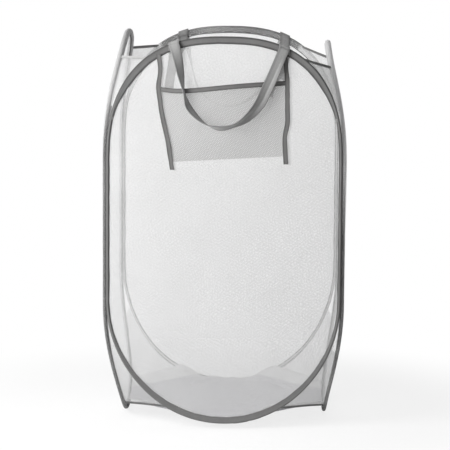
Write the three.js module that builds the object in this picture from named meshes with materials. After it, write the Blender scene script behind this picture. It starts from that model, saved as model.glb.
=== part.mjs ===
// Pop up laundry hamper: four sprung wire loops stand as the sides of a square tower.
// Each wire runs in a folded binding tape that also holds the edge of a mesh panel.
// Neighbouring loops are sewn together along their straight sides, gussets close the
// shoulders above and below, and a cloth floor hangs inside the four lower arches.
// Millimetres, +Z up, the front faces -Y, and the origin is on the floor under the middle.

import * as THREE from 'three';

// Overall sizes
const panelSpacing = 364;
const loopHeight = 600;
const frontLoopRise = 10;
const leftLoopExtraHeight = 9.5;
const rightLoopExtraHeight = -6;
const bow = 23.5;
const bowPower = 4;

// Outline of a loop: straight sides, then a fuller arch above and a rounder one below
const topStraightShare = 0.36;
const topArchPower = 2.5;
const bottomStraightShare = 0.34;
const bottomArchPower = 2.03;
const archSteps = 21;

// Wire, ferrule, tape and mesh, from the wire outwards
const clearance = 0.3;
const seamClearance = 0.7;
const wireRadius = 1.1;
const wireEndGap = 1;
const ferruleWall = 0.5;
const ferruleLength = 14;
const tapeThickness = 0.6;
const meshThickness = 0.8;
const topTapeReach = 9.2;
const sideTapeReach = 4.6;
const tapeNarrowsFromShare = 0.9;
const tapeNarrowsToShare = 0.5;
const meshHemDepth = 14;

// Gussets and the bound hems on their free edges, placed by steps along the arches
const gussetThickness = 0.8;
const upperGussetSteps = [2.6, 6.1];
const lowerGussetSteps = [2.6, 7.2];
const gussetSag = 3;
const gussetColumns = 4;
const hemReach = 2.4;
const hemCover = 0.8;

// Floor
const floorThickness = 1;
const floorHeight = 17.5;
const floorSag = 4;
const floorCornerRise = 16;
const floorColumns = 6;
const floorRowShares = [-1, -0.78, -0.54, -0.27, 0, 0.27, 0.54, 0.78, 1];

// Pocket on the front panel, with a bound top and a tape over each side
const pocketBottom = 419;
const pocketTop = 531;
const pocketSlant = 10;
const pocketTopWidth = 192;
const pocketBottomWidth = 168;
const pocketTopCentre = -4;
const pocketBottomCentre = 4;
const pocketDepth = 12;
const pocketDepthPower = 0.7;
const pocketColumns = 9;
const pocketTapeWidth = 7.4;
const pocketTapeTail = 12;
const pocketTapeTopInset = 6;

// Handles of flat webbing
const strapWidth = 16;
const strapThickness = 1.2;
const strapTail = 72;
const handleSpan = 168;
const handleCentre = 6;
const handleDrop = 132;
const handleStandShare = 0.1;
const handleTwistFromShare = 0.55;
const handleSteps = 20;
const handleShares = [
  [-1, 0],
  [-0.93, 0.3],
  [-0.84, 0.6],
  [-0.66, 0.85],
  [-0.2, 1],
  [0.2, 0.93],
  [0.52, 0.73],
  [0.8, 0.37],
  [1, 0],
];

// Sizes worked out from those above. The tape's head is a hexagon round the wire, so a
// wall or a gap across its flats is longer by hexStretch at its corners.
const hexStretch = 1 / Math.cos(Math.PI / 6);
const ferruleBore = wireRadius + clearance * hexStretch;
const ferruleRadius = ferruleBore + ferruleWall * hexStretch;
const channelRadius = ferruleRadius + clearance * hexStretch;
const headRadius = channelRadius + tapeThickness * hexStretch;
const headFlat = headRadius / hexStretch;
const slotHalf = meshThickness / 2 + clearance;
const legHalf = slotHalf + tapeThickness;
const slotStart = (channelRadius - slotHalf) / Math.tan(Math.PI / 6);
const legStart = (headRadius - legHalf) / Math.tan(Math.PI / 6);

const panelReach = panelSpacing / 2;
const cornerInset = headFlat + headRadius / 2 + clearance / Math.SQRT2;
const loopHalfWidth = panelReach - cornerInset;
const loopHalfHeight = loopHeight / 2 - headFlat;
const arches = [[topStraightShare, topArchPower], [bottomStraightShare, bottomArchPower]];
const [topArch, bottomArch] = arches.map(([straightShare, power]) => {
  const straight = loopHalfHeight * straightShare;
  return { straight, height: loopHalfHeight - straight, power };
});
const slopeStep = wireRadius / 2;

const webStandoff = headRadius + clearance;
const pocketEdgeOffset = meshThickness + clearance;
const tapeOverPocket = pocketEdgeOffset + (meshThickness + tapeThickness) / 2 + clearance;
const tapeOverCasing = legHalf + seamClearance + tapeThickness / 2;
const pocketTapeOffset = Math.max(tapeOverPocket, tapeOverCasing);
const strapTailOffset = legHalf + seamClearance + strapThickness / 2;
const strapWrapRadius = headRadius + (seamClearance + strapThickness / 2) * hexStretch;
const handleStandoff = strapWrapRadius + strapThickness + clearance;

// The four sides in turn, each with its own turn about the upright axis. The front and back
// loops are sewn on higher. The left loop stands tall and the right one is pressed down.
const sides = [
  { name: 'front', turn: 0, rise: frontLoopRise, extraHeight: 0 },
  { name: 'right', turn: Math.PI / 2, rise: 0, extraHeight: rightLoopExtraHeight },
  { name: 'back', turn: Math.PI, rise: frontLoopRise, extraHeight: 0 },
  { name: 'left', turn: -Math.PI / 2, rise: 0, extraHeight: leftLoopExtraHeight },
];
const cornerNames = ['front_right', 'back_right', 'back_left', 'front_left'];

// Materials
const metal = (color) => new THREE.MeshStandardMaterial({ color, roughness: 0.35, metalness: 1 });
const cloth = (color) => new THREE.MeshStandardMaterial({ color, roughness: 0.9, metalness: 0 });
const springSteel = metal(0xaab0b5);
const ferruleSteel = metal(0xc2c6c9);
const darkTape = cloth(0x62625f);
const meshCloth = cloth(0xdedddb);
const pocketCloth = cloth(0xcbcbca);
const floorCloth = cloth(0xc4c4c6);
const webbing = cloth(0xa2a19e);

// Outline of a loop. A side's own frame has u across the panel, d out of it and v up from
// the loop's middle; steps 0 to archSteps are the top arch and the rest are the bottom one.

function archHalfWidth(v) {
  const { straight, height, power } = v > 0 ? topArch : bottomArch;
  const share = THREE.MathUtils.clamp((Math.abs(v) - straight) / height, 0, 1);
  return loopHalfWidth * (1 - share ** power) ** (1 / power);
}

// The panel leans in as its loop narrows, by less at each height than the loop narrows, so
// that neighbours stay clear, and it is upright again where the loop closes.
function surfaceDepth(v) {
  return -bow * (1 - (archHalfWidth(v) / loopHalfWidth) ** bowPower);
}

const surfaceSlope = (v) => (surfaceDepth(v + slopeStep) - surfaceDepth(v - slopeStep)) / (2 * slopeStep);

function archPoint(step) {
  const onTop = step <= archSteps;
  const { straight, height, power } = onTop ? topArch : bottomArch;
  const angle = ((onTop ? step : step - archSteps - 1) / archSteps) * Math.PI;
  const across = Math.sign(Math.cos(angle)) * Math.abs(Math.cos(angle)) ** (2 / power);
  const up = straight + height * Math.abs(Math.sin(angle)) ** (2 / power);
  const u = loopHalfWidth * across;
  return onTop ? [u, up] : [-u, -up];
}

const stationCount = 2 * (archSteps + 1);
const loopPoints = Array.from({ length: stationCount }, (_, step) => {
  const [u, v] = archPoint(step);
  return new THREE.Vector3(u, surfaceDepth(v), v);
});

function stationFrame(index) {
  const here = loopPoints[index];
  const next = loopPoints[(index + 1) % stationCount];
  const previous = loopPoints[(index + stationCount - 1) % stationCount];
  const ahead = next.clone().sub(here).normalize();
  const behind = here.clone().sub(previous).normalize();
  const along = ahead.add(behind).normalize();
  const normal = new THREE.Vector3(0, 1, -surfaceSlope(here.z));
  normal.addScaledVector(along, -normal.dot(along)).normalize();
  const outward = normal.clone().cross(along);
  return { here, along, normal, outward };
}
const stationFrames = loopPoints.map((_, index) => stationFrame(index));

// A point at a whole or part step, r out in the panel's plane and h off its face
function loopPoint(step, r, h) {
  const index = Math.floor(step);
  const at = (i) => {
    const { here, normal, outward } = stationFrames[(i + stationCount) % stationCount];
    return here.clone().addScaledVector(outward, r).addScaledVector(normal, h);
  };
  return at(index).lerp(at(index + 1), step - index);
}

function loopTangent(step) {
  const index = Math.floor(step);
  return loopPoint(index + 1, 0, 0).sub(loopPoint(index, 0, 0)).normalize();
}

const footDrop = -Math.min(...loopPoints.map((_, step) => loopPoint(step, headFlat, 0).z));

// Extra height stretches what is above a loop's middle.
const stretched = (side, v) => (v > 0 ? v * (1 + side.extraHeight / loopHalfHeight) : v);

// From a side's frame to the hamper's
function toHamper(side, point) {
  const z = stretched(side, point.z) + footDrop + side.rise;
  const local = new THREE.Vector3(point.x, -panelReach - point.y, z);
  return local.applyAxisAngle(new THREE.Vector3(0, 0, 1), side.turn);
}

// Closed bodies from rows of points

function solid(points, triangles) {
  const positions = new Float32Array(points.flatMap((point) => [point.x, point.y, point.z]));
  let volume = 0;
  for (const [a, b, c] of triangles) {
    volume += points[a].dot(points[b].clone().cross(points[c]));
  }
  const facing = volume < 0 ? triangles.map(([a, b, c]) => [a, c, b]) : triangles;
  const geometry = new THREE.BufferGeometry();
  geometry.setAttribute('position', new THREE.BufferAttribute(positions, 3));
  geometry.setIndex(facing.flat());
  geometry.computeVertexNormals();
  return geometry;
}

const quad = (a, b, c, d) => [[a, b, c], [a, c, d]];

// A section carried through rings of points, either round a closed loop or with flat ends
function sweep(rings, section, closed) {
  const count = section.length;
  const triangles = [];
  const spans = closed ? rings.length : rings.length - 1;
  for (let i = 0; i < spans; i++) {
    const from = i * count;
    const to = ((i + 1) % rings.length) * count;
    for (let j = 0; j < count; j++) {
      const k = (j + 1) % count;
      triangles.push(...quad(from + j, to + j, to + k, from + k));
    }
  }
  if (!closed) {
    const last = (rings.length - 1) * count;
    for (const [a, b, c] of THREE.ShapeUtils.triangulateShape(section, [])) {
      triangles.push([a, b, c], [last + a, last + c, last + b]);
    }
  }
  return solid(rings.flat(), triangles);
}

// Unit vectors along the rows, along the columns and square to a sheet of points
function sheetFrame(grid, row, column) {
  const rows = [grid[Math.max(row - 1, 0)], grid[Math.min(row + 1, grid.length - 1)]];
  const up = rows[1][column].clone().sub(rows[0][column]).normalize();
  const line = grid[row];
  const across = line[Math.min(column + 1, line.length - 1)].clone().sub(line[Math.max(column - 1, 0)]);
  const normal = across.normalize().clone().cross(up).normalize();
  return { up, normal };
}

// Cloth or webbing of one thickness, half of it on each side of a grid of points
function sheet(grid, thickness) {
  const width = grid[0].length;
  const points = [];
  for (const half of [thickness / 2, -thickness / 2]) {
    grid.forEach((line, row) => line.forEach((point, column) => {
      points.push(point.clone().addScaledVector(sheetFrame(grid, row, column).normal, half));
    }));
  }
  const under = grid.length * width;
  const at = (row, column) => row * width + column;
  const triangles = [];
  for (let row = 0; row < grid.length - 1; row++) {
    for (let column = 0; column < width - 1; column++) {
      const corners = [at(row, column), at(row, column + 1), at(row + 1, column + 1), at(row + 1, column)];
      triangles.push(...quad(...corners));
      triangles.push(...quad(...corners.map((corner) => corner + under).reverse()));
    }
  }
  const rim = [
    ...Array.from({ length: width }, (_, column) => at(0, column)),
    ...Array.from({ length: grid.length - 1 }, (_, row) => at(row + 1, width - 1)),
    ...Array.from({ length: width - 1 }, (_, column) => at(grid.length - 1, width - 2 - column)),
    ...Array.from({ length: grid.length - 2 }, (_, row) => at(grid.length - 2 - row, 0)),
  ];
  rim.forEach((corner, i) => {
    const next = rim[(i + 1) % rim.length];
    triangles.push(...quad(next, corner, corner + under, next + under));
  });
  return solid(points, triangles);
}

// A tape folded over the last row of a sheet: a channel open towards the sheet
function boundEdge(grid, sheetThickness) {
  const inner = sheetThickness / 2 + clearance;
  const outer = inner + tapeThickness;
  const section = [
    [-hemReach, -outer],
    [hemCover + clearance, -outer],
    [hemCover + clearance, outer],
    [-hemReach, outer],
    [-hemReach, inner],
    [clearance, inner],
    [clearance, -inner],
    [-hemReach, -inner],
  ].map(([along, off]) => new THREE.Vector2(along, off));
  const last = grid.length - 1;
  const rings = grid[last].map((point, column) => {
    const { up, normal } = sheetFrame(grid, last, column);
    return section.map(({ x, y }) => point.clone().addScaledVector(up, x).addScaledVector(normal, y));
  });
  return sweep(rings, section, false);
}

// Sewn loop: wire, ferrule, tape and mesh

function hexagon(radius) {
  return Array.from({ length: 6 }, (_, i) => {
    const angle = ((i + 0.5) / 6) * 2 * Math.PI;
    return new THREE.Vector2(radius * Math.cos(angle), radius * Math.sin(angle));
  });
}

const firstBottomStep = archSteps + 1;
const ferruleChord = firstBottomStep + Math.floor(archSteps / 2) + 1;
const ferruleChordLength = loopPoints[ferruleChord].distanceTo(loopPoints[ferruleChord + 1]);
const ferruleMiddleStep = ferruleChord + 0.5;

function loopWire() {
  const half = wireEndGap / 2 / ferruleChordLength;
  const steps = [ferruleMiddleStep + half];
  for (let i = 1; i <= stationCount; i++) {
    steps.push(ferruleChord + i);
  }
  steps.push(ferruleMiddleStep + stationCount - half);
  const section = hexagon(wireRadius);
  return sweep(steps.map((step) => section.map(({ x, y }) => loopPoint(step, x, y))), section, false);
}

function wireFerrule() {
  const half = ferruleLength / 2 / ferruleChordLength;
  const steps = [ferruleMiddleStep - half, ferruleMiddleStep + half];
  const outside = hexagon(ferruleRadius);
  const section = [...outside, ...hexagon(ferruleBore)];
  const points = steps.flatMap((step) => section.map(({ x, y }) => loopPoint(step, x, y)));
  const bore = outside.length;
  const far = section.length;
  const triangles = [];
  for (let i = 0; i < bore; i++) {
    const j = (i + 1) % bore;
    triangles.push(...quad(i, j, far + j, far + i));
    triangles.push(...quad(bore + j, bore + i, far + bore + i, far + bore + j));
    triangles.push(...quad(j, i, bore + i, bore + j));
    triangles.push(...quad(far + i, far + j, far + bore + j, far + bore + i));
  }
  return solid(points, triangles);
}

// The tape is rolled round the corner seams, so it covers less of the mesh at the sides.
function tapeReach(v) {
  const share = Math.abs(v) / loopHalfHeight;
  const wide = THREE.MathUtils.smoothstep(share, tapeNarrowsToShare, tapeNarrowsFromShare);
  return THREE.MathUtils.lerp(sideTapeReach, topTapeReach, wide);
}

function tapeSection(reach) {
  const [a, b, c] = [headFlat, headRadius / 2, headRadius];
  const [d, e, f] = [channelRadius / hexStretch, channelRadius / 2, channelRadius];
  return [
    [-reach, legHalf],
    [-legStart, legHalf],
    [0, c],
    [a, b],
    [a, -b],
    [0, -c],
    [-legStart, -legHalf],
    [-reach, -legHalf],
    [-reach, -slotHalf],
    [-slotStart, -slotHalf],
    [0, -f],
    [d, -e],
    [d, e],
    [0, f],
    [-slotStart, slotHalf],
    [-reach, slotHalf],
  ].map(([r, h]) => new THREE.Vector2(r, h));
}

function loopCasing() {
  const rings = loopPoints.map((point, step) => (
    tapeSection(tapeReach(point.z)).map(({ x, y }) => loopPoint(step, x, y))
  ));
  return sweep(rings, rings[0], true);
}

// The mesh is flat across: level rows join the two sides, and a hem runs round its edge.
function meshPanel() {
  const points = [];
  for (const h of [meshThickness / 2, -meshThickness / 2]) {
    for (const inset of [slotStart, meshHemDepth]) {
      loopPoints.forEach((_, step) => points.push(loopPoint(step, -inset, h)));
    }
  }
  const under = 2 * stationCount;
  const triangles = [];
  const bothFaces = (corners) => {
    triangles.push(...quad(...corners));
    triangles.push(...quad(...corners.map((corner) => corner + under).reverse()));
  };
  for (let i = 0; i < stationCount; i++) {
    const next = (i + 1) % stationCount;
    bothFaces([i, next, stationCount + next, stationCount + i]);
    triangles.push(...quad(next, i, i + under, next + under));
  }
  for (let row = 0; row < stationCount / 2 - 1; row++) {
    const right = (firstStep) => stationCount + ((firstStep + stationCount) % stationCount);
    const upper = Math.floor(archSteps / 2) - row;
    const mirrored = archSteps - upper;
    bothFaces([right(upper), right(mirrored), right(mirrored + 1), right(upper - 1)]);
  }
  return solid(points, triangles);
}

// The face of the mesh panel, as the rows of that mesh stand: what is sewn on follows it.
const faceRows = Array.from({ length: stationCount / 2 }, (_, row) => (
  loopPoint((Math.floor(archSteps / 2) - row + stationCount) % stationCount, -meshHemDepth, 0)
)).sort((a, b) => a.z - b.z);

function faceDepth(v) {
  const above = faceRows.findIndex((row) => row.z > v);
  if (above < 1) {
    return faceRows[above === 0 ? 0 : faceRows.length - 1].y;
  }
  const [low, high] = [faceRows[above - 1], faceRows[above]];
  return THREE.MathUtils.mapLinear(v, low.z, high.z, low.y, high.y);
}

function faceHeights(...ends) {
  const [lowest, highest] = [Math.min(...ends), Math.max(...ends)];
  const bends = faceRows.map((row) => row.z).filter((v) => v > lowest + clearance && v < highest - clearance);
  const kept = bends.filter((v) => ends.every((end) => Math.abs(end - v) > clearance));
  return [...ends, ...kept].sort((a, b) => a - b);
}

const facePoint = (u, v, h) => new THREE.Vector3(u, faceDepth(v) + h * Math.hypot(1, surfaceSlope(v)), v);

// The wire's own line over the top arch at a place across the panel
function archStepAt(u) {
  const steps = Array.from({ length: archSteps }, (_, step) => step);
  const step = steps.find((i) => loopPoints[i].x >= u && loopPoints[i + 1].x <= u);
  return step + THREE.MathUtils.inverseLerp(loopPoints[step].x, loopPoints[step + 1].x, u);
}

// Gussets between neighbouring loops

function gussetRow(side, nextSide, step, mirroredStep) {
  const start = toHamper(side, loopPoint(step, 0, 0));
  const end = toHamper(nextSide, loopPoint(mirroredStep, 0, 0));
  const offTube = (from, to, which, at) => {
    const tube = loopTangent(at).setY(-loopTangent(at).y);
    tube.applyAxisAngle(new THREE.Vector3(0, 0, 1), which.turn);
    const way = to.clone().sub(from);
    way.addScaledVector(tube, -way.dot(tube)).normalize();
    return from.clone().addScaledVector(way, webStandoff);
  };
  const [a, b] = [offTube(start, end, side, step), offTube(end, start, nextSide, mirroredStep)];
  const inward = new THREE.Vector3(-a.x - b.x, -a.y - b.y, 0).normalize();
  const reach = a.distanceTo(b) / loopHalfWidth;
  return Array.from({ length: gussetColumns + 1 }, (_, column) => {
    const share = column / gussetColumns;
    const sag = gussetSag * reach * Math.sin(share * Math.PI);
    return a.clone().lerp(b, share).addScaledVector(inward, sag);
  });
}

function gussetGrid(corner, [from, to], upper) {
  const side = sides[corner];
  const nextSide = sides[(corner + 1) % sides.length];
  const steps = [from];
  for (let step = Math.ceil(from); step < to; step++) {
    steps.push(step);
  }
  steps.push(to);
  return steps.map((step) => {
    const ownStep = upper ? step : stationCount - 1 - step;
    const mirrored = upper ? archSteps - step : archSteps + 1 + step;
    return gussetRow(side, nextSide, ownStep, mirrored);
  });
}

// Floor, with its corners cut off along the lower hems and lifted to them

const floorReach = panelReach - bow - webStandoff;
const hemEnd = loopPoint(stationCount - 1 - lowerGussetSteps[1], 0, 0).x;
const hemThickness = gussetThickness + 2 * (clearance + tapeThickness);
const floorCorner = hemEnd - (hemThickness / 2 + clearance + gussetSag / 2) * Math.SQRT2;

function clothFloor() {
  const cornerShare = floorCorner / floorReach;
  const grid = floorRowShares.map((rowShare) => {
    const cut = Math.max(Math.abs(rowShare) - cornerShare, 0) / (1 - cornerShare);
    const halfWidth = THREE.MathUtils.lerp(floorReach, floorCorner, cut);
    return Array.from({ length: floorColumns + 1 }, (_, column) => {
      const across = (2 * column) / floorColumns - 1;
      const x = across * halfWidth;
      const xShare = x / floorReach;
      const sag = floorSag * (1 - xShare ** 2) * (1 - rowShare ** 2);
      const rise = floorCornerRise * (xShare * rowShare) ** 2;
      return new THREE.Vector3(x, rowShare * floorReach, floorHeight - sag + rise);
    });
  });
  return sheet(grid, floorThickness);
}

// Pocket. Its heights are above the ground, as its driving sizes are.

const heightInFront = (height) => height - footDrop - frontLoopRise;
const pocketLow = heightInFront(pocketBottom);
const pocketHigh = heightInFront(pocketTop);

// The pocket lies flat under its side tapes and opens out between them. Its columns stand
// closer together near the tapes, where it leaves the panel.
const pocketFlatShare = (pocketTapeWidth / 2 + 2 * clearance) / pocketBottomWidth;
const pocketShares = [
  0,
  ...Array.from({ length: pocketColumns + 1 }, (_, column) => {
    const share = (1 - Math.cos((column / pocketColumns) * Math.PI)) / 2;
    return THREE.MathUtils.lerp(pocketFlatShare, 1 - pocketFlatShare, share);
  }),
  1,
];

// A place on the pocket, share across it from its left side to its right, which is higher.
function pocketPoint(v, share) {
  const rise = THREE.MathUtils.inverseLerp(pocketLow, pocketHigh, v - pocketSlant * share);
  const width = THREE.MathUtils.lerp(pocketBottomWidth, pocketTopWidth, rise);
  const centre = THREE.MathUtils.lerp(pocketBottomCentre, pocketTopCentre, rise);
  const opening = THREE.MathUtils.inverseLerp(pocketFlatShare, 1 - pocketFlatShare, share);
  const billow = Math.sin(THREE.MathUtils.clamp(opening, 0, 1) * Math.PI);
  const open = pocketDepth * billow * Math.max(rise, 0) ** pocketDepthPower;
  return facePoint(centre + (share - 0.5) * width, v, pocketEdgeOffset + open);
}

function pocketGrid() {
  const bends = faceHeights(pocketLow + pocketSlant, pocketHigh).slice(1, -1);
  const line = (height) => pocketShares.map((share) => pocketPoint(height(share), share));
  return [
    line((share) => pocketLow + pocketSlant * share),
    ...bends.map((v) => line(() => v)),
    line((share) => pocketHigh + pocketSlant * share),
  ];
}

// The bound top stops where the pocket comes down to the panel beside its tapes.
const pocketTopEdge = () => pocketGrid().map((line) => line.slice(2, -2));

function pocketTape(share) {
  const slant = pocketSlant * share;
  const middle = (v) => pocketPoint(Math.min(v, pocketHigh + slant), share).x;
  const offsets = [-pocketTapeWidth / 2, pocketTapeWidth / 2];
  const tops = offsets.map((offset) => {
    const u = middle(pocketHigh + slant) + offset;
    return loopPoint(archStepAt(u), 0, 0).z - pocketTapeTopInset;
  });
  const ends = [pocketLow - pocketTapeTail, pocketLow, pocketHigh].map((level) => level + slant);
  const heights = faceHeights(...ends, Math.min(...tops));
  const lines = heights.map((v) => offsets.map((offset) => [middle(v) + offset, v]));
  lines[lines.length - 1].forEach((place, i) => {
    place[1] = tops[i];
  });
  return sheet(lines.map((line) => line.map(([u, v]) => facePoint(u, v, pocketTapeOffset))), tapeThickness);
}

// Handles. A tab goes from inside the panel over the casing; the handle hangs outside it.

const handleEnds = [handleCentre - handleSpan / 2, handleCentre + handleSpan / 2];

function handleTab(centre) {
  const wrapFlat = strapWrapRadius / hexStretch;
  const foot = (strapWrapRadius - strapTailOffset) / Math.tan(Math.PI / 6);
  const path = [
    [-strapTail, -strapTailOffset],
    [-strapTail / 2, -strapTailOffset],
    [-meshHemDepth, -strapTailOffset],
    [-foot, -strapTailOffset],
    [0, -strapWrapRadius],
    [wrapFlat, -strapWrapRadius / 2],
    [wrapFlat, strapWrapRadius / 2],
    [0, strapWrapRadius],
    [-foot, strapTailOffset],
  ];
  const offsets = [-strapWidth / 2, 0, strapWidth / 2];
  const stretch = 1 / Math.abs(loopTangent(archStepAt(centre)).x);
  const slope = surfaceSlope(loopPoint(archStepAt(centre), 0, 0).z);
  const upPanel = new THREE.Vector3(0, slope, 1).normalize();
  const offPanel = new THREE.Vector3(0, 1, -slope).normalize();
  return sheet(path.map(([up, out]) => offsets.map((offset) => {
    const top = loopPoint(archStepAt(centre + offset), 0, 0).setX(centre + offset);
    const place = top.addScaledVector(upPanel, up * stretch).addScaledVector(offPanel, out);
    if (up < -foot) {
      place.setY(faceDepth(place.z) + out / offPanel.y);
    }
    return place;
  })), strapThickness);
}

const handleTops = handleEnds.map((u) => loopPoint(archStepAt(u), 0, 0));
const handleTopStep = Math.max(...handleTops.map((top) => top.y - faceDepth(top.z)));

function handlePoint([acrossShare, dropShare]) {
  const u = handleCentre + (acrossShare * handleSpan) / 2;
  const drop = dropShare * handleDrop;
  const v = THREE.MathUtils.lerp(handleTops[0].z, handleTops[1].z, (acrossShare + 1) / 2) - drop;
  return facePoint(u, v, handleStandoff + handleTopStep + handleStandShare * drop);
}

// The strap twists towards its lowest point, and both its ends are cut along the line that
// joins them, about which it swings.
function handleStrap() {
  const curve = new THREE.CatmullRomCurve3(handleShares.map(handlePoint));
  const first = curve.getPointAt(0);
  const endToEnd = curve.getPointAt(1).sub(first).normalize();
  const grid = Array.from({ length: handleSteps + 1 }, (_, i) => {
    const middle = curve.getPointAt(i / handleSteps);
    const along = curve.getTangentAt(i / handleSteps);
    const outward = new THREE.Vector3(0, 1, 0);
    const flat = along.clone().cross(outward).normalize();
    const dropShare = (first.z - middle.z) / handleDrop;
    const twist = (Math.PI / 2) * THREE.MathUtils.smoothstep(dropShare, handleTwistFromShare, 1);
    const wide = flat.multiplyScalar(Math.cos(twist)).addScaledVector(outward, Math.sin(twist));
    if (i === 0 || i === handleSteps) {
      wide.copy(endToEnd).multiplyScalar(-Math.sign(along.z));
    }
    return [-0.5, 0, 0.5].map((share) => middle.clone().addScaledVector(wide, share * strapWidth));
  });
  return sheet(grid, strapThickness);
}

// The hamper, side by side and corner by corner

const hamper = new THREE.Group();

function addPiece(parent, name, geometry, material) {
  const mesh = new THREE.Mesh(geometry, material);
  mesh.name = name;
  parent.add(mesh);
}

// Geometry in a side's own frame, u, d, v, is turned to x, -y, z of that side's group.
function inSideFrame(side, geometry) {
  const turned = geometry.clone();
  const place = turned.getAttribute('position');
  for (let i = 0; i < place.count; i++) {
    place.setY(i, -place.getY(i));
    place.setZ(i, stretched(side, place.getZ(i)));
  }
  const index = Array.from(turned.getIndex().array);
  for (let i = 0; i < index.length; i += 3) {
    [index[i + 1], index[i + 2]] = [index[i + 2], index[i + 1]];
  }
  turned.setIndex(index);
  turned.translate(0, -panelReach, 0);
  turned.computeVertexNormals();
  return turned;
}

const loopPieces = [
  ['wire', loopWire(), springSteel],
  ['wire_ferrule', wireFerrule(), ferruleSteel],
  ['casing', loopCasing(), darkTape],
  ['mesh_panel', meshPanel(), meshCloth],
];

const sideGroups = sides.map((side) => {
  const group = new THREE.Group();
  group.rotation.z = side.turn;
  group.position.z = footDrop + side.rise;
  for (const [piece, geometry, material] of loopPieces) {
    addPiece(group, `${side.name}_${piece}`, inSideFrame(side, geometry), material);
  }
  hamper.add(group);
  return group;
});

cornerNames.forEach((corner, i) => {
  for (const [level, steps] of [['upper', upperGussetSteps], ['lower', lowerGussetSteps]]) {
    const grid = gussetGrid(i, steps, level === 'upper');
    addPiece(hamper, `${corner}_${level}_gusset`, sheet(grid, gussetThickness), meshCloth);
    addPiece(hamper, `${corner}_${level}_hem`, boundEdge(grid, gussetThickness), darkTape);
  }
});

addPiece(hamper, 'floor_panel', clothFloor(), floorCloth);

const pocketPieces = [
  ['front_pocket', sheet(pocketGrid(), meshThickness), pocketCloth],
  ['pocket_top_binding', boundEdge(pocketTopEdge(), meshThickness), darkTape],
  ['pocket_left_tape', pocketTape(0), darkTape],
  ['pocket_right_tape', pocketTape(1), darkTape],
];
for (const [name, geometry, material] of pocketPieces) {
  addPiece(sideGroups[0], name, inSideFrame(sides[0], geometry), material);
}

// The rear handle is the front one seen in a mirror: across is turned about for the back.
const backFromFront = new THREE.Matrix4().makeScale(-1, 1, 1);

function mirrored(geometry) {
  const turned = geometry.clone().applyMatrix4(backFromFront);
  const index = Array.from(turned.getIndex().array);
  turned.setIndex(index.reverse());
  turned.computeVertexNormals();
  return turned;
}

const handleSides = [
  ['front', 0, (geometry) => geometry],
  ['rear', 2, mirrored],
];
for (const [name, side, fit] of handleSides) {
  const pieces = [
    ['handle', handleStrap()],
    ['handle_left_tab', handleTab(handleEnds[0])],
    ['handle_right_tab', handleTab(handleEnds[1])],
  ];
  for (const [piece, geometry] of pieces) {
    addPiece(sideGroups[side], `${name}_${piece}`, fit(inSideFrame(sides[side], geometry)), webbing);
  }
}

export default hamper;
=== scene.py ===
"""Looks of a pop up laundry hamper: four taped wire loops with mesh across them, gussets
between their shoulders, a cloth floor, a front pocket and two webbing handles.
Metres, +Z up, the front faces -Y. A side's own frame is u across, d out of it and v up."""

import math

import bpy
import numpy as np
from mathutils import Matrix, Vector, noise


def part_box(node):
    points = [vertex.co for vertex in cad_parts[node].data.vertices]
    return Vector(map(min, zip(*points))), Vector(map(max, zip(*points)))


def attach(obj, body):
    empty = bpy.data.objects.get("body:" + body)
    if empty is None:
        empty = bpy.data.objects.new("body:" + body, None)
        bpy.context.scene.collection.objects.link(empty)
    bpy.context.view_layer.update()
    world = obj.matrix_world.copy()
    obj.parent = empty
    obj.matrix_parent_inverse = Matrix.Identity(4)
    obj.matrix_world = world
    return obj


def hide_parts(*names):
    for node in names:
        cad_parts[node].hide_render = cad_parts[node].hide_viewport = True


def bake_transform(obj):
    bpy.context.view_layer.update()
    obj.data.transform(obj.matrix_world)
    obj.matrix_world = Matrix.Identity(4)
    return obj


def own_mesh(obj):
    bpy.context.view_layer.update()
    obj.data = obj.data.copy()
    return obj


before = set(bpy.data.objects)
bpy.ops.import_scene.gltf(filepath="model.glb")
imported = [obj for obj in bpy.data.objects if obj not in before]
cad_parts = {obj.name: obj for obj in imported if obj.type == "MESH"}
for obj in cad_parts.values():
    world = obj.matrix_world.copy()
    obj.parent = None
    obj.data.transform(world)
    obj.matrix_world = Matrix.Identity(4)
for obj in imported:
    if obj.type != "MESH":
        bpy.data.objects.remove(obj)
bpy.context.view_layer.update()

# Camera, from the photograph: its place, the way it looks and its lens
CAMERA_PLACE = (0.0961, -3.7531, 0.8065)
CAMERA_YAW = math.radians(-1.51)
CAMERA_PITCH = math.radians(-7.71)
CAMERA_ROLL = math.radians(0.40)
CAMERA_LENS_MM = 189.1
CAMERA_SENSOR_MM = 36.0
CAMERA_SEES_TO = 200

# Studio. Each lamp has its place, the width of its square and its watts.
WORLD_LIGHT = 0.28
LAMPS = {
    "key": ((-0.90, -0.85, 0.80), 0.7, 20.0),
    "top": ((0.15, 0.25, 2.20), 1.6, 3.0),
}
LAMPS_AIM = (0.0, 0.0, 0.3)
STUDIO_REACH = 30.0
FLOOR_COLOUR = 0.80
FLOOR_SEEN_COLOUR = 0.97
FLOOR_WHITE_SHARE = 0.80
FLOOR_WHITENS = (0.31, 0.62)

# Loops. The arches have the outline that the wires have in the frame: the share of a loop's
# half height below which it is straight, and the power of its curve. Left and right stand
# lower than front and back, and are a little taller or shorter above their middles.
WIRE_RADIUS = 0.0011
TOP_ARCH = (0.36, 2.5)
BOTTOM_ARCH = (0.34, 2.03)
BOW_POWER = 4
SIDE_DROP = 0.0095
EXTRA_HEIGHT = {"front": 0.0, "right": -0.006, "back": 0.0, "left": 0.0095}
LOOP_STATIONS = 560
ARCH_SAMPLES = 1200

SIDE_TURNS = {"front": 0.0, "right": math.pi / 2, "back": math.pi, "left": -math.pi / 2}
SIDE_NAMES = list(SIDE_TURNS)
CORNERS = {
    "front_right": ("front", "right"),
    "back_right": ("right", "back"),
    "back_left": ("back", "left"),
    "front_left": ("left", "front"),
}

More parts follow.
